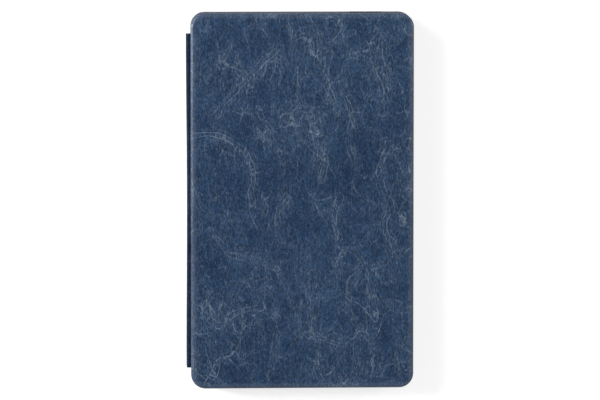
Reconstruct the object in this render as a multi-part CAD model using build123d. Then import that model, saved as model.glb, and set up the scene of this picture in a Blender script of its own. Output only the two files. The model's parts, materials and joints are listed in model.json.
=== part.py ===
from build123d import *
import os
from math import cos, radians

# A folding keyboard case for a small tablet, lying closed on its back: the spine is on the -X
# side, the long edges run along Y and the closed front cover faces +Z. From the bottom up it holds
# a rear stand panel with a fold-out prop, the tray that grips the tablet, and the front cover with
# a wireless keyboard on its inside. Lengths are in millimetres. The origin is the middle of the
# closed case's footprint, at its base.

# The tablet that the case is cut for, and the play around it
TABLET_WIDTH = 123.0
TABLET_LENGTH = 211.8
TABLET_THICKNESS = 8.4
TABLET_CORNER = 6.0
TABLET_PLAY = 0.3

# The moulded tray
TRAY_WALL = 1.6
TRAY_FLOOR = 1.2
TRAY_PAD = 0.3
TRAY_EDGE = 1.0
PAD_MARGIN = 1.0
LIP_THICKNESS = 0.7
LIP_REACH = 1.0
LIP_LENGTH = 24.0
TOP_NOTCH_OFFSET = 36.4
TOP_NOTCH_WIDTH = 18.3
TOP_NOTCH_SILL = 2.2
PORT_WIDTH = 14.0
SPEAKER_WIDTH = 16.0
SPEAKER_OFFSET = 32.0
SIDE_KEYS_LENGTH = 34.0
SIDE_KEYS_OFFSET = 76.0
WINDOW_HEIGHT = 5.6
SPEAKER_HEIGHT = 2.4
CAMERA_RADIUS = 6.0
CAMERA_FROM_SIDE = 12.55
CAMERA_FROM_END = 14.8
CAMERA_MARGIN = 0.8

# Leather, boards and linings of the panels
LEATHER = 0.8
ROLLED_EDGE = 1.2
PANEL_CORNER = 7.5
STAND_BOARD = 1.2
STAND_LINING = 0.4
COVER_BOARD = 0.8
COVER_LINING = 0.3
COVER_SIDE_MARGIN = 0.35
TRAY_END_REVEAL = 0.3
STAND_SIDE_MARGIN = 0.05
STAND_HINGE_SETBACK = 0.65

# The spine between the tray and the cover
SPINE_BULGE = 2.3
SPINE_INSET = 12.1
SPINE_BOARD = 0.6
SPINE_LINING = 0.2
SPINE_BEND = 0.6
SPINE_END_GAP = 0.55
FOLD_SETBACK = 1.15
FOLD_GAP = 0.3
FOLD_DEPTH = 1.15
FOLD_RADIUS = 0.9
ANCHOR_THICKNESS = 0.75
ANCHOR_HEIGHT = 3.8
ANCHOR_SHORTER = 1.4

# The fold-out prop and the cloth hinges of the stand
PROP_LENGTH = 60.0
PROP_WIDTH = 140.0
PROP_THICKNESS = 1.4
PROP_BOARD = 0.8
PROP_GAP = 0.15
PROP_SEAM = 1.2
BEAD_LENGTH = 1.5
GROOVE_ANGLES = (60, 50, 40)
GROOVE_WIDTH = 1.8
GROOVE_DEPTH = 0.35
TILT_HINGE_SETBACK = 0.6
CLOTH = 0.3
TILT_CLOTH_WIDTH = 14.4
PROP_CLOTH = 0.2
PROP_CLOTH_WIDTH = 11.9
PROP_CLOTH_GAP = 1.1

# Magnets
MAGNET_RADIUS = 4.0
STAND_MAGNET_HEIGHT = 1.0
TRAY_MAGNET_HEIGHT = 0.8
MAGNET_PLAY = 0.1
MAGNET_FROM_SIDE = 9.55
MAGNET_OFFSET = 80.0
COVER_MAGNET_SIZE = (3.0, 12.0)
COVER_MAGNET_FROM_EDGE = 3.4
COVER_MAGNET_OFFSETS = (-62.0, 0.0, 62.0)

# The keyboard's shell
CLOSING_GAP = 0.2
KEY_SHELTER = 0.2
KEY_STAND = 0.9
DECK = 0.8
BASE_INSET = 4.0
BASE_CORNER = 5.0
BASE_WALL = 1.2
BASE_FLOOR = 0.6
BAR_WIDTH = 21.1
SCREW_ROWS = (-33.6, -4.1, 25.9, 55.4)
SCREW_RADIUS = 0.55
SCREW_HEAD_RADIUS = 1.1
SCREW_HEAD = 0.45
SCREW_PLAY = 0.05
BOSS_RADIUS = 1.4
BOSS_FROM_EDGE = 2.5
BUMPER_ROWS = (-18.85, 10.9, 40.65)
BUMPER_SIZE = (8.0, 2.4)

# Keys: rows run along Y and are stacked along X, the function row nearest the spine
COLUMN_PITCH = 16.6
COLUMNS = 12
ROW_PITCH = 16.5
LETTER_ROWS = 5
FUNCTION_PITCH = 10.0
KEY_EDGE_MARGIN = 3.4
KEY_SPACING = 2.2
KEY_CORNER = 1.4
KEY_EDGE = 0.25
KEY_PLAY = 0.2
KEY_TRAVEL = 1.0
FLANGE = 0.4
FLANGE_REACH = 0.6
KEY_SEAT_GAP = 0.05
DOME_FOOT = 2.6
DOME_HEAD = 1.6
DOME_SHEET = 0.2
MEMBRANE = 0.2
BACKING_PLATE = 0.3
SHEET_MARGIN = 0.3

# Electronics in the battery bar
BAR_SKIN = 0.8
FIT = 0.1
BATTERY_SIZE = (15.0, 72.0, 2.6)
BATTERY_Y = 36.0
BOARD_SIZE = (16.4, 52.0, 0.8)
BOARD_FACE_DEPTH = 1.9
RADIO_SIZE = (11.0, 14.0, 1.0)
SOCKET_SIZE = (7.5, 5.5, 2.4)
SOCKET_MOUTH = (6.8, 4.6, 1.8)
SOCKET_RECESS = 0.3
SWITCH_BODY_SIZE = (6.6, 2.4)
SWITCH_KNOB = (2.6, 1.3)
SWITCH_TRAVEL = 2.0
SWITCH_STANDOUT = 0.7
SWITCH_STEM = (1.0, 0.9, 0.7)
SWITCH_PLAY = 0.15
SOCKET_FROM_EDGE = 6.4
SWITCH_FROM_EDGE = 16.0
BUTTON_RADIUS = 1.7
BUTTON_FLANGE = 0.3
BUTTON_TRAVEL = 0.3
TACT_SIZE = (3.0, 3.0, 0.4)
BUTTON_Y = -60.0
LIGHT_RADIUS = 0.6
LIGHT_SPACING = 5.0
LIGHT_COUNT = 3
LIGHT_Y = -72.0

# Footprints that follow from the tablet
TRAY_WIDTH = TABLET_WIDTH + 2 * (TABLET_PLAY + TRAY_WALL)
TRAY_LENGTH = TABLET_LENGTH + 2 * (TABLET_PLAY + TRAY_WALL)
TRAY_CORNER = TABLET_CORNER + TABLET_PLAY + TRAY_WALL
BAY_WIDTH = TABLET_WIDTH + 2 * TABLET_PLAY
BAY_LENGTH = TABLET_LENGTH + 2 * TABLET_PLAY
BAY_CORNER = TABLET_CORNER + TABLET_PLAY
COVER_WIDTH = TRAY_WIDTH + 2 * COVER_SIDE_MARGIN
COVER_LENGTH = TRAY_LENGTH - 2 * TRAY_END_REVEAL
MIDDLE_X = SPINE_BULGE / 2
TRAY_LEFT = MIDDLE_X - TRAY_WIDTH / 2
TRAY_RIGHT = MIDDLE_X + TRAY_WIDTH / 2
COVER_LEFT = MIDDLE_X - COVER_WIDTH / 2
COVER_RIGHT = MIDDLE_X + COVER_WIDTH / 2
STAND_LEFT = TRAY_LEFT + STAND_HINGE_SETBACK
STAND_RIGHT = TRAY_RIGHT + STAND_SIDE_MARGIN
STAND_WIDTH = STAND_RIGHT - STAND_LEFT
STAND_X = (STAND_LEFT + STAND_RIGHT) / 2
BASE_WIDTH = COVER_WIDTH - 2 * BASE_INSET
BASE_LENGTH = COVER_LENGTH - 2 * BASE_INSET
BASE_LEFT = MIDDLE_X - BASE_WIDTH / 2
BASE_END = BASE_LENGTH / 2
BAR_RIGHT = BASE_LEFT + BAR_WIDTH

# Heights, from the table up
STAND_TOP = LEATHER + STAND_BOARD + STAND_LINING
PROP_BOTTOM = STAND_TOP + PROP_GAP
PROP_RADIUS = PROP_THICKNESS / 2
PROP_AXIS = PROP_BOTTOM + PROP_RADIUS
TRAY_BOTTOM = PROP_BOTTOM + PROP_THICKNESS + PROP_GAP
BAY_FLOOR = TRAY_BOTTOM + TRAY_FLOOR
PAD_TOP = BAY_FLOOR + TRAY_PAD
TABLET_TOP = PAD_TOP + TABLET_THICKNESS
LIP_TOP = TABLET_TOP + LIP_THICKNESS
BUMPER_FACE = LIP_TOP + CLOSING_GAP
KEY_FACE = BUMPER_FACE + KEY_SHELTER
DECK_FACE = KEY_FACE + KEY_STAND
DECK_BACK = DECK_FACE + DECK
FLANGE_FACE = DECK_BACK + KEY_SEAT_GAP
FLANGE_BACK = FLANGE_FACE + FLANGE
SHEET_FACE = FLANGE_BACK + KEY_TRAVEL + KEY_SEAT_GAP
MEMBRANE_FACE = SHEET_FACE + DOME_SHEET
PLATE_FACE = MEMBRANE_FACE + MEMBRANE
BASE_FLOOR_FACE = PLATE_FACE + BACKING_PLATE
BASE_BACK = BASE_FLOOR_FACE + BASE_FLOOR
COVER_BOARD_FACE = BASE_BACK + COVER_LINING
COVER_SKIN_FACE = COVER_BOARD_FACE + COVER_BOARD
CASE_TOP = COVER_SKIN_FACE + LEATHER
BAR_CEILING = KEY_FACE + BAR_SKIN
BOARD_FACE = KEY_FACE + BOARD_FACE_DEPTH
BOARD_BACK = BOARD_FACE + BOARD_SIZE[2]

# Fold lines, as (x, z) of axes that run along Y
TILT_FOLD = (STAND_LEFT + TILT_HINGE_SETBACK, PROP_AXIS)
PROP_FOLD = (TILT_FOLD[0] + PROP_LENGTH, PROP_AXIS)
LOWER_FOLD = (TRAY_LEFT - FOLD_SETBACK, TRAY_BOTTOM + TRAY_FLOOR)
UPPER_FOLD = (COVER_LEFT - FOLD_GAP, CASE_TOP - FOLD_DEPTH)
SPINE_FACE = -COVER_WIDTH / 2 - SPINE_BULGE / 2
SPINE_MIDDLE = SPINE_FACE + LEATHER / 2
SPINE_LOW = LOWER_FOLD[1] + LOWER_FOLD[0] - SPINE_MIDDLE
SPINE_HIGH = UPPER_FOLD[1] - UPPER_FOLD[0] + SPINE_MIDDLE
CAMERA_X = TRAY_RIGHT - CAMERA_FROM_SIDE
CAMERA_Y = TRAY_LENGTH / 2 - CAMERA_FROM_END
MAGNET_X = TRAY_RIGHT - MAGNET_FROM_SIDE
KEYS_RIGHT = MIDDLE_X + BASE_WIDTH / 2 - KEY_EDGE_MARGIN
KEYS_LEFT = KEYS_RIGHT - LETTER_ROWS * ROW_PITCH - FUNCTION_PITCH
KEYS_END = COLUMNS * COLUMN_PITCH / 2
BOARD_X = (BASE_LEFT + BASE_WALL + BAR_RIGHT - BAR_SKIN) / 2
BOARD_LOW = SOCKET_SIZE[1] + SOCKET_RECESS + FIT - BASE_END
BOARD_Y = BOARD_LOW + BOARD_SIZE[1] / 2
SOCKET_X = BASE_LEFT + SOCKET_FROM_EDGE
SWITCH_X = BASE_LEFT + SWITCH_FROM_EDGE
CAVITY_MID = (BAR_CEILING + BASE_FLOOR_FACE) / 2


def slab(width, length, bottom, top, corner=0.0, x=MIDDLE_X, y=0.0):
    """A flat plate with rounded corners, centred on (x, y), between two heights."""
    outline = RectangleRounded(width, length, corner) if corner else Rectangle(width, length)
    return Pos(x, y, bottom) * extrude(outline, top - bottom)


def block(x, y, z):
    """A box between three pairs of limits."""
    size = [high - low for low, high in (x, y, z)]
    middle = [(low + high) / 2 for low, high in (x, y, z)]
    return Pos(*middle) * Box(*size)


def disc(x, y, radius, bottom, top):
    """An upright round plate or pin between two heights."""
    return Pos(x, y, bottom) * extrude(Circle(radius), top - bottom)


def bottom_edges(shape):
    return shape.faces().sort_by(Axis.Z)[0].edges()


def top_edges(shape):
    return shape.faces().sort_by(Axis.Z)[-1].edges()


def group(solids):
    """Separate solids that are kept as one node."""
    return Compound(list(solids))


def camera_hole(margin, bottom, top):
    return disc(CAMERA_X, CAMERA_Y, CAMERA_RADIUS + margin, bottom, top)


# Rear stand panel

def stand_panel_skin():
    """Leather on the underside, turned up round the board's edges."""
    skin = slab(STAND_WIDTH, COVER_LENGTH, 0, LEATHER + STAND_BOARD, PANEL_CORNER, STAND_X)
    skin = fillet(bottom_edges(skin), ROLLED_EDGE)
    pocket = slab(
        STAND_WIDTH - 2 * LEATHER, COVER_LENGTH - 2 * LEATHER, LEATHER,
        LEATHER + STAND_BOARD, PANEL_CORNER - LEATHER, STAND_X,
    )
    return skin - pocket - camera_hole(CAMERA_MARGIN, 0, LEATHER)


def stand_panel_board():
    board = slab(
        STAND_WIDTH - 2 * LEATHER, COVER_LENGTH - 2 * LEATHER, LEATHER,
        LEATHER + STAND_BOARD, PANEL_CORNER - LEATHER, STAND_X,
    )
    top = LEATHER + STAND_BOARD
    for y in (-MAGNET_OFFSET, MAGNET_OFFSET):
        board -= disc(MAGNET_X, y, MAGNET_RADIUS + MAGNET_PLAY, top - STAND_MAGNET_HEIGHT, top)
    return board - camera_hole(CAMERA_MARGIN, LEATHER, top)


def stand_panel_lining():
    inset = ROLLED_EDGE / 2
    lining = slab(
        STAND_WIDTH - 2 * inset, COVER_LENGTH - 2 * inset, LEATHER + STAND_BOARD,
        STAND_TOP, PANEL_CORNER - inset, STAND_X,
    )
    return lining - camera_hole(CAMERA_MARGIN, LEATHER + STAND_BOARD, STAND_TOP)


def magnets(bottom, top):
    """A pair of round magnets beside the prop."""
    return group(disc(MAGNET_X, y, MAGNET_RADIUS, bottom, top) for y in (-MAGNET_OFFSET, MAGNET_OFFSET))


def tilt_hinge_cloth(bottom):
    """One glued half of the cloth hinge that the tray tilts on."""
    x = (TILT_FOLD[0] + TILT_HINGE_SETBACK, TILT_FOLD[0] + TILT_HINGE_SETBACK + TILT_CLOTH_WIDTH)
    half_length = COVER_LENGTH / 2 - SPINE_INSET
    return block(x, (-half_length, half_length), (bottom, bottom + CLOTH))


def prop_hinge_cloth():
    """The glued half of the prop's cloth hinge."""
    right = PROP_FOLD[0] - PROP_CLOTH_GAP
    y = (-PROP_WIDTH / 2, PROP_WIDTH / 2)
    return block((right - PROP_CLOTH_WIDTH, right), y, (STAND_TOP, STAND_TOP + PROP_CLOTH))


# Fold-out prop

def prop_outline():
    """The whole prop: a strip with a round nose along both long edges."""
    section = Pos(PROP_FOLD[0] + PROP_LENGTH / 2, PROP_AXIS) * SlotCenterToCenter(
        PROP_LENGTH, PROP_THICKNESS
    )
    return Pos(0, PROP_WIDTH / 2, 0) * Rot(X=90) * extrude(section, PROP_WIDTH)


def bead_start():
    return PROP_FOLD[0] + PROP_LENGTH - BEAD_LENGTH


def prop_board():
    x = (PROP_FOLD[0] + PROP_RADIUS, bead_start() - PROP_SEAM)
    y = (PROP_SEAM - PROP_WIDTH / 2, PROP_WIDTH / 2 - PROP_SEAM)
    return block(x, y, (PROP_AXIS - PROP_BOARD / 2, PROP_AXIS + PROP_BOARD / 2))


def beyond_bead():
    """The space that holds the prop's bead, cut off the rest of the prop."""
    y = (-PROP_WIDTH, PROP_WIDTH)
    return block((bead_start(), bead_start() + PROP_LENGTH), y, (0, 2 * PROP_AXIS))


def prop_covering():
    """Leather sewn round the prop's board."""
    return prop_outline() - prop_board() - beyond_bead()


def prop_tip_bead():
    """A rubber bead that grips the tray's back."""
    return prop_outline() & beyond_bead()


# Tray that grips the tablet

def end_window(x, width, height, radius, y_sign):
    """A rounded opening through the wall at one end of the tray."""
    outline = Pos(x, (PAD_TOP + TABLET_TOP) / 2) * RectangleRounded(width, height, radius)
    opening = Rot(X=90) * extrude(outline, TRAY_WALL + 2 * TABLET_PLAY, both=True)
    return Pos(0, y_sign * (TRAY_LENGTH - TRAY_WALL) / 2, 0) * opening


def side_window():
    """The opening for the tablet's own side keys."""
    outline = Pos(SIDE_KEYS_OFFSET, (PAD_TOP + TABLET_TOP) / 2) * RectangleRounded(
        SIDE_KEYS_LENGTH, WINDOW_HEIGHT, WINDOW_HEIGHT / 3
    )
    opening = Rot(Z=90) * Rot(X=90) * extrude(outline, TRAY_WALL + 2 * TABLET_PLAY, both=True)
    return Pos(TRAY_RIGHT - TRAY_WALL / 2, 0, 0) * opening


def top_notch():
    """The gap in the upper end wall, open at the rim."""
    x = MIDDLE_X + TOP_NOTCH_OFFSET
    y = TRAY_LENGTH / 2
    return block(
        (x - TOP_NOTCH_WIDTH / 2, x + TOP_NOTCH_WIDTH / 2),
        (y - TRAY_WALL - LIP_REACH - TABLET_PLAY, y + TRAY_WALL),
        (BAY_FLOOR + TOP_NOTCH_SILL, LIP_TOP + LIP_THICKNESS),
    )


def bay_mouth():
    """The opening above the glass, narrowed at the corners by the lips."""
    inside = slab(
        BAY_WIDTH - 2 * LIP_REACH, BAY_LENGTH - 2 * LIP_REACH, TABLET_TOP, LIP_TOP,
        BAY_CORNER - LIP_REACH,
    )
    across = slab(BAY_WIDTH, BAY_LENGTH - 2 * LIP_LENGTH, TABLET_TOP, LIP_TOP)
    along = slab(BAY_WIDTH - 2 * LIP_LENGTH, BAY_LENGTH, TABLET_TOP, LIP_TOP)
    return inside + across + along


def prop_groove(angle):
    """A groove across the tray's back that takes the bead at one stand angle."""
    x = TILT_FOLD[0] + 2 * PROP_LENGTH * cos(radians(angle))
    y = PROP_WIDTH / 2 + PROP_THICKNESS
    return block(
        (x - GROOVE_WIDTH / 2, x + GROOVE_WIDTH / 2), (-y, y),
        (TRAY_BOTTOM - GROOVE_DEPTH, TRAY_BOTTOM + GROOVE_DEPTH),
    )


def tablet_tray():
    tray = slab(TRAY_WIDTH, TRAY_LENGTH, TRAY_BOTTOM, LIP_TOP, TRAY_CORNER)
    tray = fillet(bottom_edges(tray), TRAY_EDGE)
    tray = fillet(top_edges(tray), LIP_THICKNESS / 2)
    tray -= slab(BAY_WIDTH, BAY_LENGTH, BAY_FLOOR, TABLET_TOP, BAY_CORNER)
    tray -= bay_mouth()
    tray -= top_notch()
    tray -= side_window()
    tray -= end_window(MIDDLE_X, PORT_WIDTH, WINDOW_HEIGHT, WINDOW_HEIGHT / 3, -1)
    for x in (MIDDLE_X - SPEAKER_OFFSET, MIDDLE_X + SPEAKER_OFFSET):
        tray -= end_window(x, SPEAKER_WIDTH, SPEAKER_HEIGHT, SPEAKER_HEIGHT / 3, -1)
    for y in (-MAGNET_OFFSET, MAGNET_OFFSET):
        pocket_floor = BAY_FLOOR - TRAY_MAGNET_HEIGHT
        tray -= disc(MAGNET_X, y, MAGNET_RADIUS + MAGNET_PLAY, pocket_floor, BAY_FLOOR)
    for angle in GROOVE_ANGLES:
        tray -= prop_groove(angle)
    return tray - camera_hole(0, TRAY_BOTTOM, BAY_FLOOR)


def tray_pad():
    """The soft sheet that the tablet's back lies on."""
    pad = slab(
        BAY_WIDTH - 2 * PAD_MARGIN, BAY_LENGTH - 2 * PAD_MARGIN, BAY_FLOOR, PAD_TOP,
        BAY_CORNER - PAD_MARGIN,
    )
    return pad - camera_hole(CAMERA_MARGIN, BAY_FLOOR, PAD_TOP)


def spine_length():
    return COVER_LENGTH - 2 * SPINE_INSET


def spine_anchor_strip():
    """The edge of the spine's leather, glued to the tray's wall."""
    half_length = spine_length() / 2 - ANCHOR_SHORTER
    bottom = TRAY_BOTTOM + TRAY_EDGE + TABLET_PLAY / 2
    return block(
        (TRAY_LEFT - ANCHOR_THICKNESS, TRAY_LEFT), (-half_length, half_length),
        (bottom, bottom + ANCHOR_HEIGHT),
    )


# Spine

def spine_plate(outer, thickness, end_margin):
    """A flat upright strip inside the spine, at a depth behind its outer face."""
    left = SPINE_FACE + outer
    half_length = spine_length() / 2 - end_margin
    return block(
        (left, left + thickness), (-half_length, half_length),
        (SPINE_LOW + SPINE_BEND + end_margin, SPINE_HIGH - SPINE_BEND - end_margin),
    )


def spine_skin():
    """Leather that runs up the spine and turns in towards both fold lines."""
    ends = SPINE_END_GAP * cos(radians(45))
    path = FilletPolyline(
        (LOWER_FOLD[0] - ends, LOWER_FOLD[1] + ends),
        (SPINE_MIDDLE, SPINE_LOW),
        (SPINE_MIDDLE, SPINE_HIGH),
        (UPPER_FOLD[0] - ends, UPPER_FOLD[1] - ends),
        radius=FOLD_RADIUS,
    )
    band = trace(path, LEATHER)
    return Pos(0, spine_length() / 2, 0) * Rot(X=90) * extrude(band, spine_length())


# Front cover

def cover_skin():
    """Leather on the outside of the front cover, turned in round its edges."""
    skin = slab(COVER_WIDTH, COVER_LENGTH, BASE_BACK, CASE_TOP, PANEL_CORNER)
    skin = fillet(top_edges(skin), ROLLED_EDGE)
    return skin - slab(
        COVER_WIDTH - 2 * LEATHER, COVER_LENGTH - 2 * LEATHER, BASE_BACK, COVER_SKIN_FACE,
        PANEL_CORNER - LEATHER,
    )


def cover_sheet(bottom, top):
    """A board or lining inside the turned-in leather."""
    return slab(
        COVER_WIDTH - 2 * LEATHER, COVER_LENGTH - 2 * LEATHER, bottom, top, PANEL_CORNER - LEATHER
    )


def cover_magnet(y, play=0.0):
    width, length = (side + 2 * play for side in COVER_MAGNET_SIZE)
    x = COVER_RIGHT - COVER_MAGNET_FROM_EDGE
    return slab(width, length, COVER_BOARD_FACE, COVER_SKIN_FACE, x=x, y=y)


def cover_board():
    board = cover_sheet(COVER_BOARD_FACE, COVER_SKIN_FACE)
    for y in COVER_MAGNET_OFFSETS:
        board -= cover_magnet(y, MAGNET_PLAY)
    return board


# Keyboard shell

def screw_places():
    side = BASE_END - BOSS_FROM_EDGE
    return [(MIDDLE_X + x, y) for x in SCREW_ROWS for y in (-side, side)]


def socket_block(size, recess, play=0.0):
    """A box at the charging socket's place, set back from the keyboard's end wall."""
    width, depth, height = size
    low = recess - BASE_END
    return block(
        (SOCKET_X - width / 2 - play, SOCKET_X + width / 2 + play), (low - play, low + depth + play),
        (CAVITY_MID - height / 2 - play, CAVITY_MID + height / 2 + play),
    )


def switch_slot():
    """The slot that the power switch's knob slides along."""
    length, height = SWITCH_KNOB
    half = (length + SWITCH_TRAVEL) / 2 + SWITCH_PLAY
    return block(
        (SWITCH_X - half, SWITCH_X + half), (-BASE_END - BASE_WALL, BASE_WALL - BASE_END),
        (CAVITY_MID - height / 2 - SWITCH_PLAY, CAVITY_MID + height / 2 + SWITCH_PLAY),
    )


def wall_openings():
    """What the keyboard's end wall leaves open: the charging socket and the switch."""
    return socket_block(SOCKET_SIZE, -SOCKET_RECESS, FIT) + switch_slot()


def keyboard_base():
    """The shallow box behind the keys, with a boss for each screw."""
    base = slab(BASE_WIDTH, BASE_LENGTH, DECK_BACK, BASE_BACK, BASE_CORNER)
    cavity = slab(
        BASE_WIDTH - 2 * BASE_WALL, BASE_LENGTH - 2 * BASE_WALL, DECK_BACK, BASE_FLOOR_FACE,
        BASE_CORNER - BASE_WALL,
    )
    base -= cavity
    for x, y in screw_places():
        base += disc(x, y, BOSS_RADIUS, DECK_BACK, BASE_BACK)
    for x, y in screw_places():
        base -= disc(x, y, SCREW_RADIUS + SCREW_PLAY, DECK_BACK, BASE_FLOOR_FACE)
    for x in (BOARD_X - BOARD_SIZE[0] / 2, BOARD_X + BOARD_SIZE[0] / 2 - BASE_WALL):
        for y in (BOARD_LOW, BOARD_LOW + BOARD_SIZE[1] - BASE_WALL):
            base += block((x, x + BASE_WALL), (y, y + BASE_WALL), (BOARD_BACK, BASE_BACK))
    return base - wall_openings()


def light_places():
    return [LIGHT_Y - LIGHT_SPACING * number for number in range(LIGHT_COUNT)]


def keyboard_frame():
    """The deck that the keys stand through, with a raised bar over the battery."""
    frame = slab(BASE_WIDTH, BASE_LENGTH, DECK_FACE, DECK_BACK, BASE_CORNER)
    beyond_bar = block(
        (BAR_RIGHT, BAR_RIGHT + BASE_WIDTH), (-BASE_LENGTH, BASE_LENGTH), (0, CASE_TOP)
    )
    frame += slab(BASE_WIDTH, BASE_LENGTH, KEY_FACE, DECK_BACK, BASE_CORNER) - beyond_bar
    frame = fillet(bottom_edges(frame), KEY_EDGE)
    inner_end = BASE_END - BASE_WALL
    frame -= block(
        (BASE_LEFT + BASE_WALL, BAR_RIGHT - BAR_SKIN), (-inner_end, inner_end), (BAR_CEILING, DECK_BACK)
    )
    frame -= [key_opening(*key) for key in all_keys()]
    for x, y in screw_places():
        frame -= disc(x, y, SCREW_HEAD_RADIUS + SCREW_PLAY, DECK_FACE, DECK_FACE + SCREW_HEAD)
        frame -= disc(x, y, SCREW_RADIUS + SCREW_PLAY, DECK_FACE, DECK_BACK)
    for y in light_places():
        frame -= disc(BOARD_X, y, LIGHT_RADIUS + SCREW_PLAY, KEY_FACE, BAR_CEILING)
    frame -= disc(BOARD_X, BUTTON_Y, BUTTON_RADIUS + KEY_PLAY, KEY_FACE, BAR_CEILING)
    return frame - wall_openings()


def frame_screws():
    return group(
        disc(x, y, SCREW_HEAD_RADIUS, DECK_FACE, DECK_FACE + SCREW_HEAD)
        + disc(x, y, SCREW_RADIUS, DECK_FACE, PLATE_FACE)
        for x, y in screw_places()
    )


def deck_bumpers():
    """Rubber pads that keep the keys off the tablet's glass."""
    width, length = BUMPER_SIZE
    side = BASE_END - BOSS_FROM_EDGE
    return group(
        slab(width, length, BUMPER_FACE, DECK_FACE, length / 2.5, MIDDLE_X + x, y)
        for x in BUMPER_ROWS
        for y in (-side, side)
    )


# Keys

def key_run(row, first, *widths):
    """Keys side by side in one row, as (x, y, width along X, length along Y) of each cap.

    Row 0 is the function row. first is how many columns come before the run, counted from the
    +Y end, and widths are the keys' lengths in columns.
    """
    pitch = ROW_PITCH if row else FUNCTION_PITCH
    left = KEYS_LEFT + (FUNCTION_PITCH + (row - 1) * ROW_PITCH if row else 0)
    keys = []
    start = KEYS_END - first * COLUMN_PITCH
    for width in widths:
        middle = start - width * COLUMN_PITCH / 2
        keys.append((left + pitch / 2, middle, pitch - KEY_SPACING, width * COLUMN_PITCH - KEY_SPACING))
        start -= width * COLUMN_PITCH
    return keys


KEYS = {
    "function_keys": key_run(0, 0, *[1] * 12),
    "number_keys": key_run(1, 0, *[1] * 11),
    "backspace_key": key_run(1, 11, 1),
    "tab_key": key_run(2, 0, 1),
    "upper_letter_keys": key_run(2, 1, *[1] * 11),
    "caps_key": key_run(3, 0, 1.25),
    "home_letter_keys": key_run(3, 1.25, *[1] * 9),
    "enter_key": key_run(3, 10.25, 1.75),
    "left_shift_key": key_run(4, 0, 1.5),
    "lower_letter_keys": key_run(4, 1.5, *[1] * 9),
    "right_shift_key": key_run(4, 10.5, 1.5),
    "control_key": key_run(5, 0, 1),
    "fn_key": key_run(5, 1, 1),
    "alt_key": key_run(5, 2, 1),
    "menu_key": key_run(5, 3, 1),
    "space_key": key_run(5, 4, 4),
    "left_arrow_key": key_run(5, 8, 1),
    "up_arrow_key": key_run(5, 9, 1),
    "down_arrow_key": key_run(5, 10, 1),
    "right_arrow_key": key_run(5, 11, 1),
}


def all_keys():
    return [key for keys in KEYS.values() for key in keys]


def key_opening(x, y, width, length):
    """The hole in the deck that one key stands through."""
    return slab(
        width + 2 * KEY_PLAY, length + 2 * KEY_PLAY, DECK_FACE, DECK_BACK, KEY_CORNER + KEY_PLAY, x, y
    )


def key_cap(x, y, width, length):
    """A flat-topped cap with a flange behind the deck that keeps it in."""
    cap = slab(width, length, KEY_FACE, FLANGE_BACK, KEY_CORNER, x, y)
    cap = fillet(bottom_edges(cap), KEY_EDGE)
    return cap + slab(
        width + 2 * FLANGE_REACH, length + 2 * FLANGE_REACH, FLANGE_FACE, FLANGE_BACK,
        KEY_CORNER + FLANGE_REACH, x, y,
    )


def key_sheet(bottom, top):
    """A thin sheet that spans all the keys."""
    length = 2 * (KEYS_END - SHEET_MARGIN)
    width = KEYS_RIGHT - KEYS_LEFT
    return slab(width, length, bottom, top, x=(KEYS_LEFT + KEYS_RIGHT) / 2)


def dome(x, y):
    """A rubber dome that returns one key."""
    tip = FLANGE_BACK + KEY_SEAT_GAP
    height = MEMBRANE_FACE - tip
    return Pos(x, y, tip + height / 2) * Cone(DOME_HEAD, DOME_FOOT, height)


def dome_sheet():
    return key_sheet(SHEET_FACE, MEMBRANE_FACE) + [dome(x, y) for x, y, *_ in all_keys()]


# Electronics

def battery():
    width, length, height = BATTERY_SIZE
    return slab(width, length, BASE_FLOOR_FACE - height, BASE_FLOOR_FACE, 1.0, BOARD_X, BATTERY_Y)


def main_board():
    """The circuit board, with the small switch that the pairing button presses."""
    width, length, _ = BOARD_SIZE
    board = slab(width, length, BOARD_FACE, BOARD_BACK, x=BOARD_X, y=BOARD_Y)
    width, length, height = TACT_SIZE
    return board + slab(width, length, BOARD_FACE - height, BOARD_FACE, x=BOARD_X, y=BUTTON_Y)


def radio_module():
    width, length, height = RADIO_SIZE
    return slab(width, length, BOARD_BACK, BOARD_BACK + height, x=BOARD_X, y=BOARD_Y)


def charging_socket():
    return socket_block(SOCKET_SIZE, SOCKET_RECESS) - socket_block(SOCKET_MOUTH, SOCKET_RECESS)


def knob_span(length):
    """The span along the slot of a part of the knob, at the off end of its travel."""
    off = SWITCH_X - SWITCH_TRAVEL / 2
    return (off - length / 2, off + length / 2)


def switch_body():
    """The switch behind the end wall, with a groove for the knob's stem."""
    width, height = SWITCH_BODY_SIZE
    face = BASE_WALL + SWITCH_STANDOUT - BASE_END
    body = block(
        (SWITCH_X - width / 2, SWITCH_X + width / 2), (face, BOARD_LOW - FIT),
        (CAVITY_MID - height / 2, CAVITY_MID + height / 2),
    )
    stem_width, stem_length, stem_height = SWITCH_STEM
    half = (stem_width + SWITCH_TRAVEL) / 2 + SWITCH_PLAY
    groove_half_height = stem_height / 2 + SWITCH_PLAY
    return body - block(
        (SWITCH_X - half, SWITCH_X + half), (face, face + stem_length + SWITCH_PLAY),
        (CAVITY_MID - groove_half_height, CAVITY_MID + groove_half_height),
    )


def power_switch_knob():
    """The sliding knob, at the off end of its slot, with its stem in the switch."""
    length, height = SWITCH_KNOB
    inner = BASE_WALL + SWITCH_STANDOUT / 2 - BASE_END
    knob = block(
        knob_span(length), (-BASE_END - SWITCH_STANDOUT, inner),
        (CAVITY_MID - height / 2, CAVITY_MID + height / 2),
    )
    stem_width, stem_length, stem_height = SWITCH_STEM
    return knob + block(
        knob_span(stem_width), (inner, inner + SWITCH_STANDOUT / 2 + stem_length),
        (CAVITY_MID - stem_height / 2, CAVITY_MID + stem_height / 2),
    )


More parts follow.
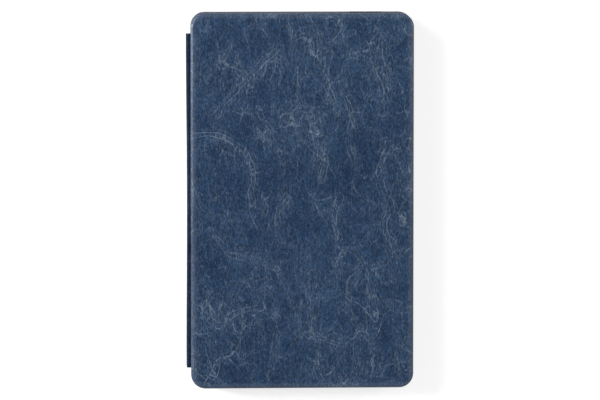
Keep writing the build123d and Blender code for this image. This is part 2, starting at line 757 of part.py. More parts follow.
def pairing_button():
    flange_face = BAR_CEILING + KEY_SEAT_GAP
    return disc(BOARD_X, BUTTON_Y, BUTTON_RADIUS, KEY_FACE, flange_face) + disc(
        BOARD_X, BUTTON_Y, BUTTON_RADIUS + FLANGE_REACH, flange_face, flange_face + BUTTON_FLANGE
    )


def status_lights():
    return group(
        disc(BOARD_X, y, LIGHT_RADIUS, KEY_FACE, BOARD_FACE - KEY_SEAT_GAP) for y in light_places()
    )


PARTS = {
    "stand_panel_skin": stand_panel_skin(),
    "stand_panel_board": stand_panel_board(),
    "stand_panel_lining": stand_panel_lining(),
    "stand_magnets": magnets(LEATHER + STAND_BOARD - STAND_MAGNET_HEIGHT, LEATHER + STAND_BOARD),
    "stand_hinge_cloth": tilt_hinge_cloth(STAND_TOP),
    "prop_hinge_cloth": prop_hinge_cloth(),
    "prop_board": prop_board(),
    "prop_covering": prop_covering(),
    "prop_tip_bead": prop_tip_bead(),
    "tablet_tray": tablet_tray(),
    "tray_hinge_cloth": tilt_hinge_cloth(TRAY_BOTTOM - CLOTH),
    "tray_magnets": magnets(BAY_FLOOR - TRAY_MAGNET_HEIGHT, BAY_FLOOR),
    "tray_pad": tray_pad(),
    "spine_anchor_strip": spine_anchor_strip(),
    "spine_skin": spine_skin(),
    "spine_board": spine_plate(LEATHER, SPINE_BOARD, SPINE_LINING),
    "spine_lining": spine_plate(LEATHER + SPINE_BOARD, SPINE_LINING, 0),
    "cover_skin": cover_skin(),
    "cover_board": cover_board(),
    "cover_lining": cover_sheet(BASE_BACK, COVER_BOARD_FACE),
    "cover_magnets": group(cover_magnet(y) for y in COVER_MAGNET_OFFSETS),
    "keyboard_base": keyboard_base(),
    "keyboard_frame": keyboard_frame(),
    "frame_screws": frame_screws(),
    "deck_bumpers": deck_bumpers(),
    "dome_sheet": dome_sheet(),
    "membrane_circuit": key_sheet(MEMBRANE_FACE, PLATE_FACE),
    "backing_plate": key_sheet(PLATE_FACE, BASE_FLOOR_FACE),
    "battery": battery(),
    "main_board": main_board(),
    "radio_module": radio_module(),
    "charging_socket": charging_socket(),
    "switch_body": switch_body(),
    "power_switch_knob": power_switch_knob(),
    "pairing_button": pairing_button(),
    "status_lights": status_lights(),
}
PARTS.update({name: group(key_cap(*key) for key in keys) for name, keys in KEYS.items()})

os.makedirs("parts", exist_ok=True)
for name, shape in PARTS.items():
    export_step(shape, f"parts/{name}.step")
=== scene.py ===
"""Looks of a folding keyboard case for a small tablet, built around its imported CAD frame.

Lengths are in metres. The closed case lies on its back: spine on the -X side, front cover up.
"""

import json
import math

import bpy
import numpy as np
from mathutils import Matrix, Vector


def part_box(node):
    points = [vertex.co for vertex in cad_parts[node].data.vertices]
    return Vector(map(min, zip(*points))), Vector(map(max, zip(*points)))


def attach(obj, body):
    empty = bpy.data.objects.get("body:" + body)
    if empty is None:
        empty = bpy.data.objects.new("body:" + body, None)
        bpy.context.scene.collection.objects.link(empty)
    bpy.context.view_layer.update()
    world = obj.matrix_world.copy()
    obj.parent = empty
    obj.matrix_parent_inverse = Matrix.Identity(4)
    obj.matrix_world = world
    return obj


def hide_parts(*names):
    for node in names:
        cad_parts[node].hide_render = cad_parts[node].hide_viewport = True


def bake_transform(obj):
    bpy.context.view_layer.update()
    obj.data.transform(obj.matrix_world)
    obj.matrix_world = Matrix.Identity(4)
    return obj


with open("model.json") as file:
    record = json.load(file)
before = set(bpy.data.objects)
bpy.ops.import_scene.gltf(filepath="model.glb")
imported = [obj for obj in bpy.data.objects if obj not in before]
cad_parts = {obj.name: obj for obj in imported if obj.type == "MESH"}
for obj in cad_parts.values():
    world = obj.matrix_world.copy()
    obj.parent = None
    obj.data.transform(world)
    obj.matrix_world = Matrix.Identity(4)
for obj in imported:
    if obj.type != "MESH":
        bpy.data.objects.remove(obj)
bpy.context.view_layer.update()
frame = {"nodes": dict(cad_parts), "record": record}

MM = 0.001

# Leather panels
PANEL_CORNER = 8.3 * MM
PANEL_ROLL = 2.0 * MM
ROLL_DROP = 1.5 * MM
HEM_ROLL = 0.3 * MM
HEM_WIDTH = 2.2 * MM
HEM_STEP = 0.06 * MM
GRID_SPACING = 0.8 * MM
RING_STEP = 0.2 * MM
ROLL_STEPS = 10
PUFF_HEIGHT = 0.10 * MM
PUFF_SIZE = 26 * MM
PUFF_SEED = 11
PUCKER_HEIGHT = 0.035 * MM
PUCKER_SIZE = 7 * MM
PUCKER_SEED = 12
CREASE_DEPTH = 0.07 * MM
CREASE_WAVER = 1.6 * MM
WAVER_SIZE = 6 * MM
WAVER_SEEDS = (3, 4)
PATCH_SIZE = 9 * MM
PATCH_SEED = 20
WRINKLE_SPACING = 1.7 * MM
BURNISHED = 1.0 * MM
FALL_OFF = 6 * MM

# Spine and hinge leather
LEATHER = 0.8 * MM
SPINE_WAIST = 0.45 * MM
SPINE_ROUND = 0.9 * MM
OUTER_SHARE = 0.6
FOOT_LEATHER = 0.72 * MM
TUCK_DEPTH = 3.0 * MM
FOOT_ROUND = 0.35 * MM
BOARD_MARGIN = 0.1 * MM
STRIP_STEPS = 160
CLOTH = 0.3 * MM
STAND_FOLD_REACH = 0.75 * MM
STAND_FOLD_ROUND = 0.5 * MM
PROP_FOLD_ROUND = 0.3 * MM

# Keys and the legends on them
CAP_GAP = 0.8 * MM
CAP_REACH = 8 * MM
LEGEND_LIFT = 0.015 * MM
LETTER_SIZE = 4.4 * MM
WORD_SIZE = 2.7 * MM
ARROW_SIZE = 2.4 * MM

# Camera and studio
SENSOR = 36.0
CAMERA_DISTANCE = 2.4
IMAGE_WIDTH = 0.3425
CAMERA_LEAN = (-0.05, 0.085, 1.0)
CAMERA_OFFSET = (-1.4 * MM, 0.8 * MM)
FLOOR_SIZE = 6.0
FLOOR_DROP = 0.2 * MM
FLOOR_GLOW = 0.74
WORLD_LIGHT = 0.25


# Surfaces worked out with numpy

def grid_faces(rows, columns):
    """Quads of a grid of points that is stored row by row."""
    corner = (np.arange(rows - 1)[:, None] * columns + np.arange(columns - 1)).ravel()
    return np.stack([corner, corner + 1, corner + columns + 1, corner + columns], axis=1)


def ring_faces(rings, around):
    """Quads of rings of points, each ring closed on itself."""
    ring, step = np.meshgrid(np.arange(rings - 1), np.arange(around), indexing="ij")
    here, beside = ring * around + step, ring * around + (step + 1) % around
    return np.stack([here, beside, beside + around, here + around], axis=-1).reshape(-1, 4)


def corners_of(node):
    """A node's lowest and highest corners at rest, as arrays."""
    low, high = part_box(node)
    return np.array(low), np.array(high)


def new_piece(name, points, faces, material):
    """A mesh from an array of points and an array of faces, with its finish."""
    mesh = bpy.data.meshes.new(name)
    mesh.from_pydata(points.reshape(-1, 3).tolist(), [], faces.tolist())
    mesh.validate()
    mesh.polygons.foreach_set("use_smooth", [True] * len(mesh.polygons))
    piece = bpy.data.objects.new(name, mesh)
    bpy.context.scene.collection.objects.link(piece)
    mesh.materials.append(material)
    return piece


def soft_noise(x, y, size, seed):
    """Smooth noise from -1 to 1: random values on a square lattice, joined by smoothstep curves."""
    lattice = np.random.default_rng(seed).uniform(-1, 1, (64, 64))
    column, row = np.floor(x / size).astype(int), np.floor(y / size).astype(int)
    across, up = x / size - column, y / size - row
    across, up = across * across * (3 - 2 * across), up * up * (3 - 2 * up)
    corners = [lattice[(row + r) % 64, (column + c) % 64] for r in (0, 1) for c in (0, 1)]
    low = corners[0] + (corners[1] - corners[0]) * across
    high = corners[2] + (corners[3] - corners[2]) * across
    return low + (high - low) * up


def smooth_line(points, per_span=12):
    """Points on the Catmull-Rom curve through a short list of points."""
    knots = np.array([points[0], *points, points[-1]], float) * MM
    t = np.linspace(0, 1, per_span, endpoint=False)[None, :, None]
    a, b, c, d = (knots[k : len(knots) - 3 + k][:, None, :] for k in range(4))
    spans = 2 * b + (c - a) * t + (2 * a - 5 * b + 4 * c - d) * t**2 + (3 * b - a - 3 * c + d) * t**3
    spans = 0.5 * spans
    return np.vstack([spans.reshape(-1, 2), knots[-1:]])


def line_distance(x, y, line):
    """Distance from every point to the nearest piece of a line."""
    start, step = line[:-1], np.diff(line, axis=0)
    offset_x, offset_y = x[..., None] - start[:, 0], y[..., None] - start[:, 1]
    along = (offset_x * step[:, 0] + offset_y * step[:, 1]) / (step**2).sum(1)
    along = np.clip(along, 0, 1)
    gap = (offset_x - along * step[:, 0]) ** 2 + (offset_y - along * step[:, 1]) ** 2
    return np.sqrt(gap.min(-1))


# Creases worn into the front cover, each a width and points across the panel, in millimetres
CREASES = [
    (1.5, [(1, 106), (7, 99), (11, 90), (12, 84), (9, 78)]),
    (2.0, [(16, 84), (14, 74), (15, 62), (20, 52)]),
    (1.4, [(12, 86), (21, 92), (29, 97)]),
    (1.3, [(12, 82), (6, 86), (1, 81), (2, 73)]),
    (1.6, [(24, 84), (34, 82), (40, 78), (44, 84)]),
    (2.2, [(-14, 88), (-26, 77), (-37, 64), (-52, 48)]),
    (2.4, [(45, 94), (44, 80), (47, 64), (45, 50)]),
    (2.2, [(-62, 38), (-44, 36), (-31, 26), (-28, 12), (-30, -2)]),
    (1.8, [(-26, 54), (-20, 42), (-13, 30), (-11, 16)]),
    (2.0, [(4, 50), (6, 36), (13, 24), (10, 12)]),
    (1.6, [(29, 48), (27, 34), (30, 20)]),
    (2.6, [(48, 32), (44, 16), (50, 0), (48, -16), (54, -30)]),
    (1.7, [(22, 4), (18, -8), (19, -20)]),
    (1.6, [(-37, -26), (-27, -34), (-16, -38), (-8, -52), (-2, -66), (-3, -77)]),
    (1.8, [(-3, -76), (9, -77), (20, -83)]),
    (1.3, [(30, -68), (36, -76), (42, -83)]),
    (1.7, [(34, -36), (27, -48), (26, -62), (30, -68)]),
    (1.9, [(-58, -62), (-48, -70), (-37, -64), (-26, -60), (-14, -66)]),
    (1.5, [(-14, -76), (-16, -88), (-20, -101)]),
    (2.2, [(30, -84), (31, -96), (27, -106)]),
    (1.8, [(-8, 2), (-14, -10), (-13, -24)]),
    (1.6, [(-52, -16), (-44, -28), (-36, -32)]),
]


def crease_fields(x, y):
    """How creased the leather is, 0 to 1, and how far the nearest crease's middle is.

    Each crease is a bell of its own width about a smooth line, whose distance wavers with noise.
    """
    bent_x = x + CREASE_WAVER * soft_noise(x, y, WAVER_SIZE, WAVER_SEEDS[0])
    bent_y = y + CREASE_WAVER * soft_noise(x, y, WAVER_SIZE, WAVER_SEEDS[1])
    strength = np.zeros_like(x)
    nearest = np.full_like(x, 1.0)
    for number, (width, points) in enumerate(CREASES):
        gap = line_distance(bent_x, bent_y, smooth_line(points))
        patchy = 0.65 + 0.35 * soft_noise(x, y, PATCH_SIZE, PATCH_SEED + number)
        strength = np.maximum(strength, patchy * np.exp(-((gap / (width * MM)) ** 2)))
        nearest = np.minimum(nearest, gap)
    return strength, nearest


def panel_profile(height):
    """The panel's edge from its flat face outwards, as arrays of inset and depth.

    A quarter ellipse, a straight wall, a small round and a hem turned in under the panel.
    """
    turn = np.linspace(0, math.pi / 2, ROLL_STEPS + 1)[1:]
    roll_in, roll_down = PANEL_ROLL * (1 - np.sin(turn)), ROLL_DROP * (1 - np.cos(turn))
    under = np.linspace(0, math.pi / 2, 4)
    hem_in = HEM_ROLL * (1 - np.cos(under))
    hem_down = height - HEM_ROLL * (1 - np.sin(under))
    tuck = np.linspace(HEM_ROLL, HEM_WIDTH, 5)[1:]
    inset = np.concatenate([roll_in, hem_in, tuck, [HEM_WIDTH]])
    depth = np.concatenate([roll_down, hem_down, np.full(4, height), [height - 3 * HEM_STEP]])
    return inset, depth


def panel_points(low, high, inset, depth):
    """Grid over a round-cornered panel whose outer rings run down its edge and under it.

    Inside, grid lines are straight. In each corner square the rings of the grid, which are square,
    are turned into arcs: the ring number is the larger coordinate and the other gives the angle.
    """
    half = (high[:2] - low[:2]) / 2
    middle = (high[:2] + low[:2]) / 2
    rings = RING_STEP * np.arange(1, len(inset) + 1)
    lines = []
    for extent in half:
        flat = extent - PANEL_ROLL
        inner = np.linspace(-flat, flat, 1 + int(2 * flat / GRID_SPACING))
        lines.append(np.concatenate([-(flat + rings)[::-1], inner, flat + rings]))
    u, v = np.meshgrid(*lines)
    core = half - PANEL_CORNER
    a, b = np.abs(u) - core[0], np.abs(v) - core[1]
    flat_corner = PANEL_CORNER - PANEL_ROLL
    ring = np.rint(np.maximum(np.maximum(a, b) - flat_corner, 0) / RING_STEP).astype(int)
    ring_inset = np.concatenate([[PANEL_ROLL], inset])[ring]
    drop = np.concatenate([[0], depth])[ring]
    reach = np.where(ring > 0, PANEL_CORNER - ring_inset, np.maximum(a, b))
    larger = np.maximum(np.maximum(a, b), 1e-9)
    slant = np.clip(np.minimum(a, b) / larger, 0, 1) * math.pi / 4
    angle = np.where(a >= b, slant, math.pi / 2 - slant)
    corner = (a > 0) & (b > 0)
    beyond_x, beyond_y = (ring > 0) & (a >= b), (ring > 0) & (b > a)
    side_x = np.where(beyond_x, half[0] - ring_inset, np.abs(u))
    side_y = np.where(beyond_y, half[1] - ring_inset, np.abs(v))
    x = np.sign(u) * np.where(corner, core[0] + reach * np.cos(angle), side_x)
    y = np.sign(v) * np.where(corner, core[1] + reach * np.sin(angle), side_y)
    edge = np.minimum(half[0] - np.abs(x), half[1] - np.abs(y))
    calm = np.clip((edge - PANEL_ROLL) / FALL_OFF, 0, 1) * (ring == 0)
    strength, gap = crease_fields(x, y)
    rub = np.where(ring > 0, 1.0, np.exp(-(((edge - PANEL_ROLL) / BURNISHED) ** 2)))
    puff = soft_noise(x, y, PUFF_SIZE, PUFF_SEED) * PUFF_HEIGHT - PUFF_HEIGHT
    pucker = soft_noise(x, y, PUCKER_SIZE, PUCKER_SEED) * PUCKER_HEIGHT
    drop = drop - calm * (puff + pucker) + calm * CREASE_DEPTH * strength
    fields = {"crease": strength, "gap": gap, "rub": rub}
    return np.stack([x + middle[0], y + middle[1], drop], axis=-1), fields


def front_cover_leather():
    """The front cover's leather: its face, its rolled edge and the hem turned in under it."""
    low, high = corners_of("cover_skin")
    inset, depth = panel_profile(high[2] - low[2] + HEM_STEP)
    points, fields = panel_points(low, high, inset, depth)
    points[..., 2] = high[2] - points[..., 2]
    faces = grid_faces(*points.shape[:2])
    piece = new_piece("front_cover_leather", points, faces, FINISHES["navy_leather"])
    for field, values in fields.items():
        attribute = piece.data.attributes.new(field, "FLOAT", "POINT")
        attribute.data.foreach_set("value", values.ravel().astype(np.float32))
    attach(piece, "front_cover")
    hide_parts("cover_skin")


def round_path(points, radius, steps=6):
    """A path through (x, z) points with each corner rounded by an arc that touches both runs."""
    points = [np.array(point, float) for point in points]
    path = [points[0]]
    for before, here, after in zip(points, points[1:], points[2:]):
        into, out = here - before, after - here
        into, out = into / np.linalg.norm(into), out / np.linalg.norm(out)
        turn = math.acos(np.clip(into @ out, -1, 1))
        reach = radius * math.tan(turn / 2)
        t = np.linspace(0, 1, steps)[:, None]
        start, end = here - into * reach, here + out * reach
        path.extend((1 - t) ** 2 * start + 2 * t * (1 - t) * here + t**2 * end)
    path.append(points[-1])
    return np.array(path)


def band_section(path, thickness):
    """The closed outline of a band: its path moved half a thickness to each side."""
    along = np.gradient(path, axis=0)
    along /= np.linalg.norm(along, axis=1)[:, None]
    aside = np.stack([-along[:, 1], along[:, 0]], axis=1) * thickness / 2
    return np.vstack([path + aside, (path - aside)[::-1]])


def strip(name, path, thickness, y_range, material, waist=0.0):
    """A band with a fixed section carried along Y, closed at both ends.

    waist draws the section's outermost points in towards +X at half length, by a squared sine
    that falls to nothing at both ends, and its innermost points not at all.
    """
    section = band_section(path, thickness)
    y = np.linspace(*y_range, STRIP_STEPS)
    along = (y - y_range[0]) / (y_range[1] - y_range[0])
    shift = waist * np.sin(math.pi * along) ** 2
    points = np.empty((len(y), len(section), 3))
    outward = (section[:, 0].max() - section[:, 0]) / np.ptp(section[:, 0])
    points[..., 0] = section[:, 0] + shift[:, None] * outward.clip(0, OUTER_SHARE) / OUTER_SHARE
    points[..., 1] = y[:, None]
    points[..., 2] = section[:, 1]
    faces = ring_faces(len(y), len(section))
    half = len(section) // 2
    cap = np.array([[k, k + 1, len(section) - 2 - k, len(section) - 1 - k] for k in range(half - 1)])
    last = (len(y) - 1) * len(section)
    faces = np.vstack([faces, cap[:, ::-1], cap + last])
    piece = new_piece(name, points, faces, material)
    return face_outwards(piece)


def face_outwards(piece):
    """Turns every face of a closed piece outwards."""
    mesh = piece.data
    corners = np.empty(len(mesh.vertices) * 3)
    mesh.vertices.foreach_get("co", corners)
    corners = corners.reshape(-1, 3)
    mesh.calc_loop_triangles()
    index = np.empty(len(mesh.loop_triangles) * 3, int)
    mesh.loop_triangles.foreach_get("vertices", index)
    a, b, c = corners[index].reshape(-1, 3, 3).transpose(1, 0, 2)
    if (a * np.cross(b, c)).sum() < 0:
        mesh.flip_normals()
    return piece


# Finishes: sums on shader values

class Tone:
    """A shader value; arithmetic on it adds the Math nodes."""

    def __init__(self, finish, socket):
        self.finish = finish
        self.socket = socket

    def maths(self, operation, *values):
        return self.finish.node("ShaderNodeMath", {"operation": operation}, dict(enumerate(values)))

    def __add__(self, other):
        return self.maths("ADD", self, other)

    def __radd__(self, other):
        return self.maths("ADD", other, self)

    def __sub__(self, other):
        return self.maths("SUBTRACT", self, other)

    def __rsub__(self, other):
        return self.maths("SUBTRACT", other, self)

    def __mul__(self, other):
        return self.maths("MULTIPLY", self, other)

    def __rmul__(self, other):
        return self.maths("MULTIPLY", other, self)

    def sine(self):
        return self.maths("SINE", self)

    def least(self, other):
        return self.maths("MINIMUM", self, other)

    def span(self, low, high):
        """Runs from 0 at low to 1 at high, smoothly, and stays there beyond."""
        settings = {"interpolation_type": "SMOOTHSTEP"}
        sockets = {"Value": self, "From Min": low, "From Max": high}
        return self.finish.node("ShaderNodeMapRange", settings, sockets)


class Finish:
    """A material whose nodes are added one by one to a Principled shader."""

    def __init__(self, name, **constants):
        self.material = bpy.data.materials.new(name)
        self.material.use_nodes = True
        self.tree = self.material.node_tree
        self.shader = self.tree.nodes["Principled BSDF"]
        for socket, value in constants.items():
            self.shader.inputs[socket.replace("_", " ")].default_value = value
        coordinates = self.tree.nodes.new("ShaderNodeTexCoord")
        self.place = Tone(self, coordinates.outputs["Object"])

    def node(self, kind, settings=None, sockets=None, output=0):
        """Adds a node, sets its settings, then fills its sockets with values or links."""
        node = self.tree.nodes.new(kind)
        for name, value in (settings or {}).items():
            setattr(node, name, value)
        for name, value in (sockets or {}).items():
            if isinstance(value, Tone):
                self.tree.links.new(value.socket, node.inputs[name])
            else:
                node.inputs[name].default_value = value
        return Tone(self, node.outputs[output])

    def stretched(self, x=1.0, y=1.0, z=1.0, place=None):
        """The object's own coordinates, scaled along each axis."""
        return self.node("ShaderNodeMapping", None, {"Vector": place or self.place, "Scale": (x, y, z)})

    def noise(self, scale, detail=3.0, place=None, roughness=0.55):
        sockets = {"Vector": place or self.place, "Scale": scale, "Detail": detail}
        sockets["Roughness"] = roughness
        return self.node("ShaderNodeTexNoise", None, sockets)

    def cells(self, scale, feature="F1", place=None):
        sockets = {"Vector": place or self.place, "Scale": scale}
        return self.node("ShaderNodeTexVoronoi", {"feature": feature}, sockets)

    def pushed(self, place, scale, amount):
        """Coordinates pushed about by coloured noise, so that straight edges waver."""
        middle = (0.5, 0.5, 0.5)
        push = self.node("ShaderNodeTexNoise", None, {"Vector": place, "Scale": scale, "Detail": 2.0}, 1)
        centred = self.node("ShaderNodeVectorMath", {"operation": "SUBTRACT"}, {0: push, 1: middle})
        scaled = self.node("ShaderNodeVectorMath", {"operation": "SCALE"}, {0: centred, "Scale": amount})
        return self.node("ShaderNodeVectorMath", {"operation": "ADD"}, {0: place, 1: scaled})

    def waves(self, scale, direction, place=None):
        settings = {"wave_type": "BANDS", "bands_direction": direction}
        return self.node("ShaderNodeTexWave", settings, {"Vector": place or self.place, "Scale": scale})

    def folds(self, distance, scale):
        """Lines that run side by side with the edges of cells of the given scale."""
        phase = distance * (2 * math.pi / (WRINKLE_SPACING * scale)) + self.noise(90, 1) * 4
        return phase.sine().span(0.3, 0.95)

    def mix(self, factor, a, b, blend="MIX"):
        a, b = ((*c, 1) if isinstance(c, tuple) else c for c in (a, b))
        settings = {"data_type": "RGBA", "blend_type": blend}
        return self.node("ShaderNodeMix", settings, {0: factor, 6: a, 7: b}, 2)

    def grey(self, value):
        """A grey of the given value."""
        return self.node("ShaderNodeCombineColor", None, {0: value, 1: value, 2: value})

    def attribute(self, name):
        return self.node("ShaderNodeAttribute", {"attribute_name": name}, None, 2)

    def bump(self, height, distance, strength=1.0):
        sockets = {"Height": height, "Distance": distance, "Strength": strength}
        self.feed("Normal", self.node("ShaderNodeBump", None, sockets))

    def feed(self, socket, value):
        self.tree.links.new(value.socket, self.shader.inputs[socket])


def veins(finish, scale, place, width, patch_scale, between, lines):
    """Pale lines beside the edges of cells, fainter between the lines, and only in patches of noise."""
    net = finish.cells(scale, "DISTANCE_TO_EDGE", place)
    patches = finish.noise(patch_scale, 2, finish.stretched(1.0, 0.6, 1.0)).span(0.4, 0.6)
    return (1 - net.span(0.0, width)) * patches * (between + finish.folds(net, scale) * lines)


def leather_wear(finish, flecks):
    """How pale the leather has worn, 0 to 1, by creases, veins, wrinkles, rubbed patches and flecks.

    A crease is ribbed by a sine of the distance to its middle.
    """
    drawn = finish.pushed(finish.stretched(1.0, 0.27, 1.0), 110, 0.009)
    wrinkles = 1 - finish.cells(380, "DISTANCE_TO_EDGE", drawn).span(0.0, 0.09)
    tilted = finish.pushed(finish.stretched(1.0, 0.45, 1.0), 160, 0.01)
    fine_wrinkles = 1 - finish.cells(560, "DISTANCE_TO_EDGE", tilted).span(0.0, 0.12)
    wide_cells = finish.pushed(finish.stretched(1.25, 0.75, 1.0), 70, 0.012)
    small_cells = finish.pushed(finish.stretched(1.2, 0.6, 1.0), 110, 0.008)
    bold_veins = veins(finish, 52, wide_cells, 0.12, 30, 0.1, 0.95)
    slight_veins = veins(finish, 95, small_cells, 0.16, 60, 0.08, 0.8)
    phase = finish.attribute("gap") * (2 * math.pi / WRINKLE_SPACING) + finish.noise(90, 1) * 5
    ribs = phase.sine().span(0.35, 0.95) * finish.noise(140, 2).span(0.34, 0.5)
    rubbed = finish.noise(80, 3, finish.stretched(1.0, 0.6, 1.0)).span(0.4, 0.72)
    pale = finish.attribute("crease") * (0.08 + ribs * 1.15 + wrinkles * 0.3)
    pale = pale + (bold_veins * 0.8 + slight_veins * 0.62) * (0.6 + wrinkles * 0.5 + fine_wrinkles * 0.2)
    pale = pale + (rubbed + 0.35) * (fine_wrinkles * 0.16 + wrinkles * 0.2)
    pale = pale + flecks * (0.1 + rubbed * 0.14)
    return pale.least(1.0)


def leather(name, depth=1.0, gloss=0.14):
    """Waxed split leather: cloudy navy with a fine upright grain, paler where it is worn.

    depth scales its colour. Below 1 it is painted shade: on the spine it darkens the leather for
    the shadow under the cover's edge. gloss is its specular level.
    """
    finish = Finish(name, IOR=1.45, Specular_IOR_Level=gloss, Coat_Roughness=0.26, Coat_IOR=1.5)
    clouds = finish.noise(48, 3, finish.pushed(finish.place, 60, 0.008), 0.6)
    wash = finish.noise(11, 1.5)
    mottle = finish.noise(170, 3, finish.stretched(1.0, 0.75, 1.0), 0.6)
    grain = finish.noise(1700, 2, finish.stretched(1.0, 0.42, 1.0), 0.6)
    pebble = finish.cells(1100, place=finish.pushed(finish.stretched(1.0, 0.5, 1.0), 500, 0.0012))
    flecks = finish.noise(1900, 1.5, finish.stretched(1.0, 0.33, 1.0), 0.5).span(0.56, 0.72)
    pale = leather_wear(finish, flecks)
    level = clouds.span(0.3, 0.7) * 0.45 + wash.span(0.35, 0.65) * 0.25 + mottle.span(0.3, 0.7) * 0.3
    # depth below 1 darkens all four colours: painted shade on the spine
    deep = tuple(depth * c for c in (0.004, 0.019, 0.055))
    middle = tuple(depth * c for c in (0.0165, 0.0445, 0.098))
    light = tuple(depth * c for c in (0.108, 0.150, 0.212))
    fleck = tuple(depth * c for c in (0.135, 0.140, 0.155))
    colour = finish.mix(pale, finish.mix(level, deep, middle), light)
    colour = finish.mix(flecks * 0.24, colour, fleck)
    colour = finish.mix(1.0, colour, finish.grey(0.54 + 0.92 * grain.span(0.34, 0.66)), "MULTIPLY")
    finish.feed("Base Color", colour)
    finish.feed("Roughness", 0.58 - pale * 0.1 + (1 - level) * 0.05)
    finish.feed("Coat Weight", finish.attribute("rub") * 0.75)
    finish.bump(grain * 0.6 + (1 - pebble) * 0.5 - pale * 0.5, 0.00018, 0.8)
    return finish.material


def moulded(name, colour, roughness=0.5, texture=2600, depth=0.00003, spread=0.12):
    """Moulded plastic with a fine spark-eroded texture and faint handling marks."""
    finish = Finish(name, IOR=1.5)
    sparks = finish.noise(texture, 2)
    smears = finish.noise(60, 3)
    darker = tuple(c * (1 - spread) for c in colour)
    paler = tuple(c * (1 + spread) for c in colour)
    finish.feed("Base Color", finish.mix(sparks.span(0.35, 0.65), darker, paler))
    finish.feed("Roughness", roughness + 0.12 * (smears - 0.5))
    finish.bump(sparks, depth)
    return finish.material


def woven(name, colour, scale, depth=0.00008, slant=True):
    """Cloth: two sets of threads, crossed or ribbed, with flecks of paler fibre."""
    finish = Finish(name, Roughness=0.95, Sheen_Weight=0.25, Sheen_Roughness=0.5)
    along = finish.waves(scale, "DIAGONAL" if slant else "X")
    across = finish.waves(scale, "Y")
    threads = along * 0.6 + across * 0.4
    fleck = finish.noise(scale * 4, 2)
    darker = tuple(c * 0.62 for c in colour)
    paler = tuple(c * 1.35 for c in colour)
    finish.feed("Base Color", finish.mix((threads * 0.7 + fleck * 0.3).least(1.0), darker, paler))
    finish.bump(threads + fleck * 0.4, depth)
    return finish.material


def metal(name, colour, roughness=0.3, brushed=True):
    """Metal with fine lines from rolling or drawing."""
    finish = Finish(name, Metallic=1.0)
    lines = finish.noise(900, 3, finish.stretched(1.0, 0.05 if brushed else 1.0, 1.0))
    finish.feed("Base Color", finish.mix(lines, tuple(c * 0.85 for c in colour), colour))
    finish.feed("Roughness", roughness + 0.2 * (lines - 0.5))
    finish.bump(lines, 0.00001)
    return finish.material


def grey_board(name):
    """Pressed grey board with flecks of fibre."""
    finish = Finish(name, Roughness=0.9)
    fibre = finish.noise(700, 4, finish.stretched(1.0, 0.4, 1.0))
    finish.feed("Base Color", finish.mix(fibre.span(0.35, 0.7), (0.22, 0.19, 0.15), (0.42, 0.37, 0.30)))
    finish.bump(fibre, 0.00005)
    return finish.material


def legend_ink(name):
    """Printed white legends, slightly uneven at the edges of the print."""
    finish = Finish(name, Roughness=0.6)
    patch = finish.noise(1800, 2)
    finish.feed("Base Color", finish.mix(patch.span(0.3, 0.7), (0.62, 0.63, 0.64), (0.78, 0.79, 0.80)))
    return finish.material


FINISHES = {
    "navy_leather": leather("navy_leather"),
    # Painted shade: the spine's leather is coloured at 0.34 of the cover's, for the shadow under the
    # cover's edge
    "spine_leather": leather("spine_leather", 0.34, 0.06),
    "tray_plastic": moulded("tray_plastic", (0.011, 0.015, 0.027), 0.45),
    "keyboard_plastic": moulded("keyboard_plastic", (0.022, 0.023, 0.026), 0.5),
    "keycap_plastic": moulded("keycap_plastic", (0.013, 0.013, 0.015), 0.55, 3200, 0.00002),
    "switch_plastic": moulded("switch_plastic", (0.016, 0.016, 0.018), 0.3),
    "rubber": moulded("rubber", (0.014, 0.014, 0.015), 0.8, 1500, 0.00004),
    "silicone": moulded("silicone", (0.42, 0.43, 0.44), 0.6),
    "circuit_film": moulded("circuit_film", (0.30, 0.34, 0.32), 0.25, 400, 0.000005, 0.3),
    "circuit_board": moulded("circuit_board", (0.012, 0.085, 0.038), 0.4, 800, 0.00001, 0.35),
    "battery_wrap": moulded("battery_wrap", (0.28, 0.29, 0.31), 0.35, 300, 0.00003),
    "light_lens": moulded("light_lens", (0.62, 0.68, 0.66), 0.2, 500, 0.000005, 0.05),
    "lining_cloth": woven("lining_cloth", (0.026, 0.030, 0.040), 420),
    "pad_cloth": woven("pad_cloth", (0.022, 0.024, 0.030), 520),
    "hinge_cloth": woven("hinge_cloth", (0.020, 0.028, 0.045), 300, slant=False),
    "board": grey_board("board"),
    "magnet": metal("magnet", (0.62, 0.62, 0.64), 0.2, False),
    "screw_steel": metal("screw_steel", (0.32, 0.32, 0.34), 0.35),
    "socket_steel": metal("socket_steel", (0.58, 0.58, 0.60), 0.28),
}
INK = legend_ink("legend_ink")


def finish_cad_nodes():
    """Gives every CAD node the finish named by its material slot."""
    for part in frame["record"]["subparts"]:
        material = FINISHES[part["material_slot"]]
        for place in frame["nodes"][part["node"]].material_slots:
            place.material = material


# Pieces

def joint(name):
    return next(j for j in frame["record"]["behaviour"]["joints"] if j["name"] == name)


